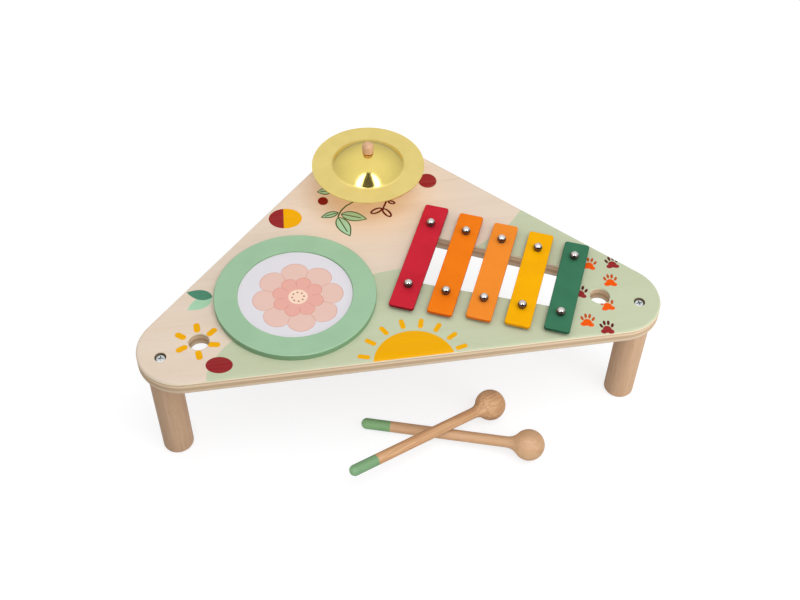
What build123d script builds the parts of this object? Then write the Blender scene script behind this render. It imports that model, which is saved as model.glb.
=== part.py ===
from build123d import *
from math import atan2, cos, degrees, radians, sin, sqrt
import os

# Children's musical table: a three-legged plywood top that carries a drum, five metal bars and a cymbal,
# with two wooden mallets lying on the floor in front. Millimetres, +Z up, +X along the straight front edge.
# Everything is drawn from the middle of the front edge at floor level, and moved to the middle of its
# footprint at the end.

# Table top
table_width = 459.0
table_depth = 288.0
corner_radius = 40.0
top_thickness = 13.5
top_edge_radius = 2.2
bottom_edge_radius = 1.5
hole_edge_break = 0.5

# Legs and the screws that hold them
leg_length = 109.0
leg_radius = 13.7
leg_inset = 31.4
leg_foot_radius = 2.0
leg_top_chamfer = 0.8
screw_head_radius = 4.3
screw_head_height = 2.9
screw_head_round = 1.2
screw_recess = 1.5
screw_radius = 2.5
screw_length = 25.0
screw_end_chamfer = 0.6
screw_hole_clearance = 0.3
counterbore_clearance = 0.7
cross_slot_length = 5.0
cross_slot_width = 1.1
cross_slot_depth = 1.6
insert_radius = 4.0
insert_length = 12.0
thread_bite = 0.3
insert_press = 0.05
pilot_spare_depth = 2.0

# Holes that the mallets hang in
mallet_hole_radius = 8.9
mallet_hole_inward = 32.6
mallet_hole_back = 12.4

# Drum
drum_radius = 71.3
drum_front_margin = 10.7
drum_side_margin = 14.0
ring_height = 6.0
ring_edge_radius = 0.8
head_radius = 50.5
head_recess = 1.5
head_thickness = 0.5
hoop_wall = 8.0
hoop_overlap = 5.5
hoop_clearance = 0.2
drum_opening_lip = 1.0
drum_screw_count = 4
drum_screw_radius = 1.5
drum_screw_head_radius = 3.0
drum_screw_bite = 4.5
drum_screw_turn = 45.0

# Xylophone
bar_lengths = {
    "bar_red": 131.0,
    "bar_orange": 126.5,
    "bar_light_orange": 119.5,
    "bar_yellow": 115.5,
    "bar_green": 108.0,
}
bar_width = 22.5
bar_thickness = 2.5
bar_corner_radius = 2.5
bar_edge_radius = 0.5
bar_hole_clearance = 0.3
bar_lift = 3.5
bar_play = 2.2
first_bar_from_drum = 11.7
last_bar_from_leg = 64.4
row_shift = -1.7
row_turn = -0.8
pin_span_first = 79.5
pin_span_last = 69.5
pin_radius = 1.2
pin_depth = 9.0
pin_press = 0.05
pin_head_radius = 4.0
pin_head_height = 4.6
pin_head_rim = 0.9
pin_head_clearance = 0.3
grommet_wall = 1.3
grommet_flange_radius = 4.6
grommet_clearance = 0.1
slot_margin_first = 9.5
slot_margin_last = 10.5
slot_shift = 1.5
slot_corner_radius = 5.0

# Cymbal and its post
cymbal_from_back_leg = 52.0
cymbal_side_offset = -7.0
cymbal_radius = 52.7
cymbal_height = 33.4
cymbal_thickness = 0.8
cymbal_crease_radius = 3.0
dome_radius = 34.0
dome_height = 15.0
post_radius = 9.0
post_edge_radius = 1.5
tenon_radius = 3.0
tenon_in_knob = 6.5
cymbal_hole_clearance = 0.6
felt_thickness = 3.0
felt_radius = 7.0
felt_bore_clearance = 0.1
felt_gap = 0.35
felt_slope = 6.0
knob_radius = 5.3
knob_height = 10.2
knob_gap = 0.5
knob_press = 0.03
post_screw_radius = 2.0
post_screw_head_radius = 4.0
post_screw_bite = 20.0

# Mallets, lying on the floor with the upper stick across the lower one
mallet_length = 155.5
stick_radius = 5.1
ball_radius = 14.3
neck_radius = 8.6
neck_length = 9.0
stick_gap = 0.3
lower_ball_place = (104.7, -31.0)
lower_heading = 159.7
upper_ball_place = (79.4, 18.2)
upper_heading = 205.1
slope_passes = 6

# Wood screws: 90 degree heads sunk a little below the face, in holes a little wider, with tapered tips
countersink_clearance = 0.1
countersink_depth = 0.3
tip_length_per_radius = 1.5
tip_end_per_radius = 0.25


# ---- places worked out from the sizes ----
top_z = leg_length + top_thickness
side_angle = atan2(table_depth - 2 * corner_radius, table_width / 2 - corner_radius)
front_corner = (table_width / 2 - corner_radius, corner_radius)
back_corner = (0.0, table_depth - corner_radius)

front_leg_reach = (corner_radius - leg_inset) / sin(side_angle / 2)
back_leg_reach = (corner_radius - leg_inset) / cos(side_angle)
front_leg = (
    front_corner[0] + front_leg_reach * cos(side_angle / 2),
    front_corner[1] - front_leg_reach * sin(side_angle / 2),
)
leg_places = {
    "leg_left": (-front_leg[0], front_leg[1]),
    "leg_right": front_leg,
    "leg_back": (0.0, back_corner[1] + back_leg_reach),
}
mallet_hole = (front_leg[0] - mallet_hole_inward, front_leg[1] + mallet_hole_back)

# The drum keeps its margins to the front edge and to the left side
drum_y = drum_front_margin + drum_radius
side_room = corner_radius - drum_side_margin - drum_radius
drum_x = -(front_corner[0] + (side_room - (drum_y - front_corner[1]) * cos(side_angle)) / sin(side_angle))


def along_row(place):
    """How far a place lies along the line that halves the right corner."""
    return place[0] * cos(side_angle / 2) - place[1] * sin(side_angle / 2)


# The bars stand evenly from the drum to the right leg. Their row lies along the line that halves the right
# corner, a little nearer to the front edge and turned a little more.
first_bar = along_row((drum_x, drum_y)) + drum_radius + first_bar_from_drum + bar_width / 2
last_bar = along_row(front_leg) - last_bar_from_leg
row_length = last_bar - first_bar
bar_pitch = row_length / (len(bar_lengths) - 1)
halving_line = Location((front_leg[0], front_leg[1], 0), (0, 0, -degrees(side_angle) / 2))
row_middle = halving_line * Pos(-last_bar_from_leg - row_length / 2, row_shift, 0)
row = row_middle * Rot(0, 0, row_turn) * Pos(-row_length / 2, 0, 0)
bar_hole_radius = pin_radius + grommet_clearance + grommet_wall + bar_hole_clearance
bar_base_z = top_z + bar_lift
bar_top_z = bar_base_z + bar_thickness
pin_head_z = bar_top_z + bar_play + pin_head_clearance

# The cymbal's dome is a cap of a ball, and its sheet is the same all over
cymbal_place = (cymbal_side_offset, leg_places["leg_back"][1] - cymbal_from_back_leg)
brim_z = top_z + cymbal_height
dome_ball = (dome_radius**2 + dome_height**2) / (2 * dome_height)
dome_centre_z = brim_z + dome_height - dome_ball
cymbal_hole_radius = tenon_radius + cymbal_hole_clearance
seat_z = dome_centre_z + sqrt((dome_ball - cymbal_thickness) ** 2 - cymbal_hole_radius**2)
felt_top_z = seat_z - felt_gap
post_top_z = felt_top_z - felt_thickness
knob_z = brim_z + dome_height + knob_gap


seated = (Align.CENTER, Align.CENTER, Align.MIN)
hanging = (Align.CENTER, Align.CENTER, Align.MAX)


def at(place, z=0.0):
    return Location((place[0], place[1], z))


def rod(radius, height):
    return Cylinder(radius, height, align=seated)


def ring_of(outer_radius, inner_radius, height):
    return rod(outer_radius, height) - rod(inner_radius, height)


def screw_tip(radius):
    return tip_length_per_radius * radius


def countersunk_screw(radius, head_radius, length):
    """Screw standing point up, with the face of its head at z = 0 and a tapered tip beyond its length."""
    head = Cone(head_radius, radius, head_radius - radius, align=seated)
    tip = Cone(radius, radius * tip_end_per_radius, screw_tip(radius), align=seated)
    return head + rod(radius, length) + Pos(0, 0, length) * tip


def countersunk_hole(radius, head_radius, length):
    """Cutter for such a screw, clear of it all round and sinking its head below the face."""
    wide = head_radius + countersink_clearance
    narrow = radius + countersink_clearance
    cone = Pos(0, 0, countersink_depth) * Cone(wide, narrow, wide - narrow, align=seated)
    return rod(wide, countersink_depth) + cone + rod(narrow, length)


def pan_head_screw():
    """Cross-slotted machine screw with the underside of its head at z = 0."""
    head = rod(screw_head_radius, screw_head_height)
    head = fillet(head.edges().group_by(Axis.Z)[-1], screw_head_round)
    slot = Box(cross_slot_length, cross_slot_width, cross_slot_depth, align=hanging)
    for turn in (0, 90):
        head -= Pos(0, 0, screw_head_height) * Rot(0, 0, turn) * slot
    shank = Pos(0, 0, -screw_length) * rod(screw_radius, screw_length)
    return head + chamfer(shank.edges().group_by(Axis.Z)[0], screw_end_chamfer)


# ---- table top ----
def top_outline():
    """Three round corners joined by straight sides."""
    corners = [front_corner, (-front_corner[0], front_corner[1]), back_corner]
    circles = Sketch() + [Pos(x, y) * Circle(corner_radius) for x, y in corners]
    return make_hull(circles.edges())


def pin_span(index):
    """Distance between the two pins of a bar, which narrows along the row."""
    share = index / (len(bar_lengths) - 1)
    return pin_span_first + (pin_span_last - pin_span_first) * share


def slot_outline():
    """Opening under the bars, from the middle of the first to the middle of the last."""
    half_first = pin_span_first / 2 - slot_margin_first
    half_last = pin_span_last / 2 - slot_margin_last
    corners = [(0, -half_first), (row_length, -half_last), (row_length, half_last), (0, half_first)]
    shape = Polygon(*[(x, y + slot_shift) for x, y in corners], align=None)
    return fillet(shape.vertices(), slot_corner_radius)


def pin_places():
    for index in range(len(bar_lengths)):
        for side in (-1, 1):
            yield Pos((row * Pos(index * bar_pitch, side * pin_span(index) / 2, 0)).position)


def drum_screw_places():
    middle = (drum_radius + head_radius + hoop_overlap) / 2
    circle = PolarLocations(middle, drum_screw_count, drum_screw_turn, rotate=False)
    return [Pos(drum_x, drum_y, 0) * place for place in circle]


def table_top():
    board = extrude(top_outline(), top_thickness)
    board = fillet(board.edges().group_by(Axis.Z)[-1], top_edge_radius)
    board = fillet(board.edges().group_by(Axis.Z)[0], bottom_edge_radius)

    # through openings: under the bars, under the drumhead, and for the two mallets
    board -= row * extrude(slot_outline(), top_thickness)
    opening_radius = head_radius + hoop_overlap - hoop_wall - drum_opening_lip
    board -= Pos(drum_x, drum_y, 0) * rod(opening_radius, top_thickness)
    for side in (-1, 1):
        centre = (side * mallet_hole[0], mallet_hole[1])
        board -= at(centre) * rod(mallet_hole_radius, top_thickness)
        for z, bottom, top in (
            (0, mallet_hole_radius + hole_edge_break, mallet_hole_radius),
            (top_thickness - hole_edge_break, mallet_hole_radius, mallet_hole_radius + hole_edge_break),
        ):
            board -= at(centre, z) * Cone(bottom, top, hole_edge_break, align=seated)

    # counterbored holes for the leg screws
    counterbore_depth = screw_head_height + screw_recess
    for place in leg_places.values():
        board -= at(place) * rod(screw_radius + screw_hole_clearance, top_thickness)
        recess = rod(screw_head_radius + counterbore_clearance, counterbore_depth)
        board -= at(place, top_thickness - counterbore_depth) * recess

    # pilot holes for the pins, and countersunk holes from below for the drum and the post
    for place in pin_places():
        board -= place * Pos(0, 0, top_thickness - pin_depth) * rod(pin_radius - pin_press, pin_depth)
    for place in drum_screw_places():
        board -= place * countersunk_hole(drum_screw_radius, drum_screw_head_radius, top_thickness)
    board -= at(cymbal_place) * countersunk_hole(post_screw_radius, post_screw_head_radius, top_thickness)
    return Pos(0, 0, leg_length) * board


# ---- legs ----
def leg(place):
    body = rod(leg_radius, leg_length)
    body = fillet(body.edges().group_by(Axis.Z)[0], leg_foot_radius)
    body = chamfer(body.edges().group_by(Axis.Z)[-1], leg_top_chamfer)
    reach = screw_length - (top_thickness - screw_head_height - screw_recess) + pilot_spare_depth
    body -= Pos(0, 0, leg_length - reach) * rod(screw_radius + screw_hole_clearance, reach)
    body -= Pos(0, 0, leg_length - insert_length) * rod(insert_radius - insert_press, insert_length)
    return at(place) * body


def leg_inserts():
    insert = ring_of(insert_radius, screw_radius - thread_bite, insert_length)
    return [at(place, leg_length - insert_length) * insert for place in leg_places.values()]


def leg_screws():
    seat = top_z - screw_head_height - screw_recess
    return [at(place, seat) * pan_head_screw() for place in leg_places.values()]


# ---- drum ----
hoop_radius = head_radius + hoop_overlap
hoop_height = ring_height - head_recess - head_thickness


def drum_ring():
    """Painted ring with a rebate under its inner lip for the hoop and the head."""
    ring = ring_of(drum_radius, head_radius, ring_height)
    ring = fillet(ring.edges().group_by(Axis.Z)[-1], ring_edge_radius)
    ring -= rod(hoop_radius + hoop_clearance, ring_height - head_recess)
    depth = drum_screw_bite
    for place in drum_screw_places():
        ring -= Pos(-drum_x, -drum_y, 0) * place * rod(drum_screw_radius - thread_bite, depth)
    return Pos(drum_x, drum_y, top_z) * ring


def drum_hoop():
    hoop = ring_of(hoop_radius, hoop_radius - hoop_wall, hoop_height)
    return Pos(drum_x, drum_y, top_z) * hoop


def drum_head():
    return Pos(drum_x, drum_y, top_z + hoop_height) * rod(hoop_radius, head_thickness)


def drum_screws():
    length = top_thickness + drum_screw_bite - countersink_depth - screw_tip(drum_screw_radius)
    screw = countersunk_screw(drum_screw_radius, drum_screw_head_radius, length)
    return [Pos(0, 0, leg_length + countersink_depth) * place * screw for place in drum_screw_places()]


# ---- xylophone ----
def bar(index, length):
    outline = RectangleRounded(bar_width, length, bar_corner_radius)
    plate = extrude(outline, bar_thickness)
    plate = fillet(plate.edges().group_by(Axis.Z)[-1], bar_edge_radius)
    for side in (-1, 1):
        plate -= Pos(0, side * pin_span(index) / 2, 0) * rod(bar_hole_radius, bar_thickness)
    return Pos(0, 0, bar_base_z) * row * Pos(index * bar_pitch, 0, 0) * plate


def bar_pins():
    """Domed nails, driven into the top beside the opening."""
    shank_length = pin_depth + pin_head_z - top_z
    cap = pin_head_height - pin_head_rim
    ball = (pin_head_radius**2 + cap**2) / (2 * cap)
    half = pin_head_radius / 2
    bulge = (half, pin_head_height - ball + sqrt(ball**2 - half**2))
    with BuildPart() as pin:
        with BuildSketch(Plane.XZ):
            with BuildLine():
                Polyline((0, -shank_length), (pin_radius, -shank_length), (pin_radius, 0))
                Polyline((pin_radius, 0), (pin_head_radius, 0), (pin_head_radius, pin_head_rim))
                ThreePointArc((pin_head_radius, pin_head_rim), bulge, (0, pin_head_height))
                Line((0, pin_head_height), (0, -shank_length))
            make_face()
        revolve(axis=Axis.Z)
    return [Pos(0, 0, pin_head_z) * place * pin.part for place in pin_places()]


def bar_grommets():
    """Soft bushes: a thick flange carries the bar, and a thin sleeve keeps it off the pin."""
    inner = pin_radius + grommet_clearance
    sleeve = ring_of(inner + grommet_wall, inner, bar_lift + bar_thickness + bar_play / 2)
    grommet = ring_of(grommet_flange_radius, inner, bar_lift) + sleeve
    return [Pos(0, 0, top_z) * place * grommet for place in pin_places()]


# ---- cymbal ----
def cymbal():
    """Sheet brass: a round dome with a flat brim, turned about the post."""
    outer, inner = dome_ball, dome_ball - cymbal_thickness
    centre = dome_centre_z - brim_z
    hole = cymbal_hole_radius

    def on_ball(ball, radius):
        return (radius, centre + sqrt(ball**2 - radius**2))

    inner_foot = sqrt(inner**2 - (centre + cymbal_thickness) ** 2)
    middle = dome_radius / 2
    with BuildPart() as sheet:
        with BuildSketch(Plane.XZ) as profile:
            with BuildLine():
                ThreePointArc(on_ball(outer, hole), on_ball(outer, middle), (dome_radius, 0))
                Polyline((dome_radius, 0), (cymbal_radius, 0), (cymbal_radius, -cymbal_thickness))
                Line((cymbal_radius, -cymbal_thickness), (inner_foot, -cymbal_thickness))
                ThreePointArc((inner_foot, -cymbal_thickness), on_ball(inner, middle), on_ball(inner, hole))
                Line(on_ball(inner, hole), on_ball(outer, hole))
            make_face()
            upper_crease = profile.vertices().sort_by_distance((dome_radius, 0, 0))[0]
            fillet(upper_crease, cymbal_crease_radius)
            lower_crease = profile.vertices().sort_by_distance((inner_foot, 0, -cymbal_thickness))[0]
            fillet(lower_crease, cymbal_crease_radius + cymbal_thickness)
        revolve(axis=Axis.Z)
    return at(cymbal_place, brim_z) * sheet.part


def cymbal_felt():
    """Washer that the dome rests on; its top falls away so that the cymbal can rock."""
    rise = felt_radius * sin(radians(felt_slope))
    bore = tenon_radius + felt_bore_clearance
    base = rod(felt_radius, felt_thickness - rise)
    crown = Pos(0, 0, felt_thickness - rise) * Cone(felt_radius, bore, rise, align=seated)
    return at(cymbal_place, post_top_z) * (base + crown - rod(bore, felt_thickness))


def cymbal_post():
    """Turned post with a slim tenon that passes through the felt and the cymbal into the knob."""
    post = rod(post_radius, post_top_z - top_z)
    post = fillet(post.edges().group_by(Axis.Z)[-1], post_edge_radius)
    post += rod(tenon_radius, knob_z + tenon_in_knob - top_z)
    post -= rod(post_screw_radius - thread_bite, post_screw_bite)
    return at(cymbal_place, top_z) * post


def post_screw():
    length = top_thickness + post_screw_bite - countersink_depth - screw_tip(post_screw_radius)
    screw = countersunk_screw(post_screw_radius, post_screw_head_radius, length)
    return at(cymbal_place, leg_length + countersink_depth) * screw


def cymbal_knob():
    straight = knob_height - knob_radius
    knob = rod(knob_radius, straight) + Pos(0, 0, straight) * Sphere(knob_radius, arc_size1=0, align=seated)
    knob -= rod(tenon_radius - knob_press, tenon_in_knob)
    return at(cymbal_place, knob_z) * knob


# ---- mallets ----
def mallet():
    """Turned in one piece along +X, with the round end of the stick at x = 0."""
    joint_x = mallet_length - sqrt(ball_radius**2 - neck_radius**2)
    with BuildPart() as turned:
        with BuildSketch(Plane.XZ):
            with BuildLine():
                slant = stick_radius * sin(radians(45))
                ThreePointArc((0, 0), (stick_radius - slant, slant), (stick_radius, stick_radius))
                flare_x = joint_x - neck_length
                Line((stick_radius, stick_radius), (flare_x, stick_radius))
                TangentArc((flare_x, stick_radius), (joint_x, neck_radius), tangent=(1, 0))
                ball_end = (mallet_length + ball_radius, 0)
                ThreePointArc((joint_x, neck_radius), (mallet_length, ball_radius), ball_end)
                Line(ball_end, (0, 0))
            make_face()
        revolve(axis=Axis.X)
    return turned.part


def lay(ball_place, heading, rise):
    """Put a mallet down with its ball on the floor and its stick climbing by rise for each mm of run."""
    run = Vector(cos(radians(heading)), sin(radians(heading)), rise).normalized()
    ball = Vector(ball_place[0], ball_place[1], ball_radius)
    upward = run.cross(Vector(-run.Y, run.X, 0))
    return Plane(origin=ball + run * mallet_length, x_dir=-run, z_dir=upward).location


# The lower stick comes down until its round end meets the floor
lower_drop = ball_radius - stick_radius
lower_run = sqrt((mallet_length - stick_radius) ** 2 - lower_drop**2)
lower_rise = -lower_drop / lower_run


def upper_stick_rise():
    """Slope at which the upper stick passes over the lower one with the gap between them.

    The gap is measured across both slopes, so the slope is worked out again until it stays the same.
    """
    u = Vector(cos(radians(upper_heading)), sin(radians(upper_heading)), 0)
    w = Vector(cos(radians(lower_heading)), sin(radians(lower_heading)), 0)
    between = Vector(lower_ball_place[0] - upper_ball_place[0], lower_ball_place[1] - upper_ball_place[1], 0)
    crossing = u.cross(w).Z
    upper_run = between.cross(w).Z / crossing
    lower_run_here = between.cross(u).Z / crossing
    rise = 0.0
    for _ in range(slope_passes):
        normal = (u + Vector(0, 0, rise)).cross(w + Vector(0, 0, lower_rise)).normalized()
        height = (2 * stick_radius + stick_gap) / abs(normal.Z)
        rise = (height + lower_run_here * lower_rise) / upper_run
    return rise


upper_rise = upper_stick_rise()
lower_slide = Vector(-cos(radians(lower_heading)), -sin(radians(lower_heading)), -lower_rise).normalized()


# ---- assembly ----
def solids_of(shape):
    pieces = shape if isinstance(shape, list) else [shape]
    return [solid for piece in pieces for solid in piece.solids()]


def build_nodes():
    nodes = {"table_top": table_top()}
    for name, place in leg_places.items():
        nodes[name] = leg(place)
    nodes["leg_inserts"] = leg_inserts()
    nodes["leg_screws"] = leg_screws()
    nodes["drum_ring"] = drum_ring()
    nodes["drum_hoop"] = drum_hoop()
    nodes["drum_head"] = drum_head()
    nodes["drum_screws"] = drum_screws()
    for index, (name, length) in enumerate(bar_lengths.items()):
        nodes[name] = bar(index, length)
    nodes["bar_pins"] = bar_pins()
    nodes["bar_grommets"] = bar_grommets()
    nodes["cymbal_post"] = cymbal_post()
    nodes["post_screw"] = post_screw()
    nodes["cymbal_felt"] = cymbal_felt()
    nodes["cymbal"] = cymbal()
    nodes["cymbal_knob"] = cymbal_knob()
    nodes["mallet_lower"] = lay(lower_ball_place, lower_heading, lower_rise) * mallet()
    nodes["mallet_upper"] = lay(upper_ball_place, upper_heading, upper_rise) * mallet()
    return {name: Compound(solids_of(shape)) for name, shape in nodes.items()}


nodes = build_nodes()

# Row origin: the middle of the footprint, on the floor
boxes = [shape.bounding_box() for shape in nodes.values()]
middle_x = (min(box.min.X for box in boxes) + max(box.max.X for box in boxes)) / 2
middle_y = (min(box.min.Y for box in boxes) + max(box.max.Y for box in boxes)) / 2
to_row = Pos(-middle_x, -middle_y, 0)

os.makedirs("parts", exist_ok=True)
for name, shape in nodes.items():
    export_step(to_row * shape, f"parts/{name}.step")
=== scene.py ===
from math import cos, pi, radians, sin

import bpy
import numpy as np
from mathutils import Matrix, Vector


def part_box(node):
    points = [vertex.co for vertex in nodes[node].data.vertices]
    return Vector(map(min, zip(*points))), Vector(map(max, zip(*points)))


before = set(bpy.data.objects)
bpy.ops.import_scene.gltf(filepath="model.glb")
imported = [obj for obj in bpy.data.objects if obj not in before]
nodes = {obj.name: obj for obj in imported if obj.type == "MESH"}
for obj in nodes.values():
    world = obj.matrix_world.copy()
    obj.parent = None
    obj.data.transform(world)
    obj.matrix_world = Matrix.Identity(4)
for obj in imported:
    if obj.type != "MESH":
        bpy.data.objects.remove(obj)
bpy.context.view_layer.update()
print("frame loaded:", len(nodes), "nodes")

mm = 0.001
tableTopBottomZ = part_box("table_top")[0].z
legs = ("leg_left", "leg_right", "leg_back")


# Screen values from 0 to 255 as the linear colour that a shader socket takes.
def colour(red, green, blue):
    linear = []
    for value in (red / 255, green / 255, blue / 255):
        linear.append(value / 12.92 if value <= 0.04 else ((value + 0.055) / 1.055) ** 2.4)
    return (*linear, 1.0)


# Shader node with its settings and its inputs, each a value or a socket to link.
def addNode(tree, kind, inputs=None, **settings):
    node = tree.nodes.new("ShaderNode" + kind)
    for key, value in settings.items():
        setattr(node, key, value)
    for key, value in (inputs or {}).items():
        if isinstance(value, bpy.types.NodeSocket):
            tree.links.new(value, node.inputs[key])
        else:
            node.inputs[key].default_value = value
    return node


# Math node, with numbers or sockets as its inputs.
def calc(tree, operation, *values, clamp=False):
    return addNode(tree, "Math", dict(enumerate(values)), operation=operation, use_clamp=clamp).outputs[0]


def vectorCalc(tree, operation, *values, output="Vector"):
    return addNode(tree, "VectorMath", dict(enumerate(values)), operation=operation).outputs[output]


def scaleBy(tree, vector, factor):
    return addNode(tree, "VectorMath", {0: vector, "Scale": factor}, operation="SCALE").outputs["Vector"]


# The X, Y and Z of a vector.
def axes(tree, vector):
    return addNode(tree, "SeparateXYZ", {0: vector}).outputs


# Value taken from the range low-high to another one, and kept inside it.
def ramp(tree, value, low, high, toLow=0.0, toHigh=1.0, smooth=True):
    kind = "SMOOTHSTEP" if smooth else "LINEAR"
    places = {"Value": value, "From Min": low, "From Max": high, "To Min": toLow, "To Max": toHigh}
    return addNode(tree, "MapRange", places, interpolation_type=kind).outputs["Result"]


# Noise seldom leaves 0.3 to 0.7, so that part of it is spread over the range low-high.
def spread(tree, value, low=0.0, high=1.0):
    return ramp(tree, value, 0.3, 0.7, low, high)


# Mix node for colours, where inputs 0, 6 and 7 are the factor and the two colours.
def mixColour(tree, mask, under, over, blend="MIX"):
    places = {0: mask, 6: under, 7: over}
    return addNode(tree, "Mix", places, data_type="RGBA", blend_type=blend).outputs[2]


def noise(tree, place, scale, detail=2.0, roughness=0.5, distortion=0.0):
    sizes = {"Scale": scale, "Detail": detail, "Roughness": roughness, "Distortion": distortion}
    return addNode(tree, "TexNoise", {"Vector": place, **sizes}).outputs["Fac"]


def objectPlace(tree):
    return addNode(tree, "TexCoord").outputs["Object"]


# A place pressed flat, for what is drawn as seen from above.
def seenFromAbove(tree, place):
    return vectorCalc(tree, "MULTIPLY", place, (1.0, 1.0, 0.0))


# How much a surface faces up, from 1 to -1.
def upwards(tree):
    return axes(tree, addNode(tree, "NewGeometry").outputs["Normal"])[2]


# Shader group with its sockets; returns the tree, its input node and its output node.
def newGroup(name, inputs, outputs):
    tree = bpy.data.node_groups.new(name, "ShaderNodeTree")
    for label, kind, value in inputs:
        socket = tree.interface.new_socket(label, in_out="INPUT", socket_type="NodeSocket" + kind)
        if value is not None:
            socket.default_value = value
    for label, kind in outputs:
        tree.interface.new_socket(label, in_out="OUTPUT", socket_type="NodeSocket" + kind)
    return tree, tree.nodes.new("NodeGroupInput").outputs, tree.nodes.new("NodeGroupOutput")


def useGroup(tree, group, **inputs):
    return addNode(tree, "Group", inputs, node_tree=group).outputs


# Material with a Principled BSDF; returns the material, its tree and the shader.
def newMaterial(name, **shaderInputs):
    material = bpy.data.materials.new(name)
    material.use_nodes = True
    tree = material.node_tree
    tree.nodes.clear()
    shader = addNode(tree, "BsdfPrincipled", shaderInputs)
    addNode(tree, "OutputMaterial", {"Surface": shader.outputs[0]})
    return material, tree, shader


def bump(tree, shader, height, strength, distance):
    node = addNode(tree, "Bump", {"Height": height, "Strength": strength, "Distance": distance})
    tree.links.new(node.outputs[0], shader.inputs["Normal"])


def setMaterial(material, *names):
    for name in names:
        data = nodes[name].data
        data.materials.clear()
        data.materials.append(material)


# Streaks and short flecks that run along a direction, and slow changes of tone.
def makeWoodGrain():
    tree, inside, outside = newGroup(
        "woodGrain",
        [("Place", "Vector", None), ("Along", "Vector", (1, 0, 0)), ("Stretch", "Float", 0.05),
         ("Streak Scale", "Float", 900.0), ("Fleck Scale", "Float", 700.0)],
        [("Streaks", "Float"), ("Flecks", "Float"), ("Tone", "Float")],
    )
    lengthways = vectorCalc(tree, "DOT_PRODUCT", inside["Place"], inside["Along"], output="Value")
    straight = scaleBy(tree, inside["Along"], lengthways)
    across = vectorCalc(tree, "SUBTRACT", inside["Place"], straight)
    fibre = vectorCalc(tree, "ADD", across, scaleBy(tree, straight, inside["Stretch"]))
    streaks = noise(tree, fibre, inside["Streak Scale"], detail=3.0, roughness=0.6)
    flecks = noise(tree, fibre, inside["Fleck Scale"], detail=1.0)
    tone = noise(tree, fibre, 60.0, detail=2.0, distortion=0.6)
    tree.links.new(ramp(tree, streaks, 0.32, 0.68), outside.inputs["Streaks"])
    tree.links.new(ramp(tree, flecks, 0.66, 0.74), outside.inputs["Flecks"])
    tree.links.new(tone, outside.inputs["Tone"])
    return tree


# The slight waves of a sprayed or rolled coat, and broad clouds in its tone.
def makePaintSkin():
    tree, inside, outside = newGroup(
        "paintSkin",
        [("Place", "Vector", None), ("Wave Scale", "Float", 600.0), ("Cloud Scale", "Float", 35.0)],
        [("Waves", "Float"), ("Clouds", "Float")],
    )
    waves = noise(tree, inside["Place"], inside["Wave Scale"], detail=1.0)
    clouds = noise(tree, inside["Place"], inside["Cloud Scale"], detail=3.0)
    tree.links.new(waves, outside.inputs["Waves"])
    tree.links.new(clouds, outside.inputs["Clouds"])
    return tree


printEdge = 0.12 * mm   # softness of every printed outline


# 1 inside a printed outline and 0 outside it, from how deep inside it a place is.
def inked(tree, depth):
    return ramp(tree, depth, -printEdge, printEdge)


# A printed shape, what its rim line leaves of it, and that line.
def fillCoreRim(tree, depth, line):
    fill = inked(tree, depth)
    core = inked(tree, calc(tree, "SUBTRACT", depth, line))
    return fill, core, calc(tree, "SUBTRACT", fill, core, clamp=True)


# A place in an ornament's own axes, from the angle that the ornament is turned by.
def turnBack(tree, vector, angle):
    turn = {"Vector": vector, "Angle": calc(tree, "MULTIPLY", angle, -1.0)}
    return addNode(tree, "VectorRotate", turn, rotation_type="Z_AXIS").outputs[0]


# Turned oval: its filled shape and its rim line.
def makeOvalMask():
    tree, inside, outside = newGroup(
        "ovalMask",
        [("Place", "Vector", None), ("Centre", "Vector", (0, 0, 0)), ("Radii", "Vector", (0.01, 0.01, 1)),
         ("Turn", "Float", 0.0), ("Line", "Float", 0.001)],
        [("Mask", "Float"), ("Ring", "Float")],
    )
    turned = turnBack(tree, vectorCalc(tree, "SUBTRACT", inside["Place"], inside["Centre"]), inside["Turn"])
    unitPlace = vectorCalc(tree, "DIVIDE", turned, inside["Radii"])
    share = vectorCalc(tree, "LENGTH", unitPlace, output="Value")
    slope = vectorCalc(tree, "LENGTH", vectorCalc(tree, "DIVIDE", unitPlace, inside["Radii"]), output="Value")
    # how far inside the rim, the same all round a long oval
    depth = calc(tree, "DIVIDE", calc(tree, "MULTIPLY", share, calc(tree, "SUBTRACT", 1.0, share)),
                 calc(tree, "MAXIMUM", slope, 1.0))
    fill, core, rim = fillCoreRim(tree, depth, inside["Line"])
    tree.links.new(fill, outside.inputs["Mask"])
    tree.links.new(rim, outside.inputs["Ring"])
    return tree


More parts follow.
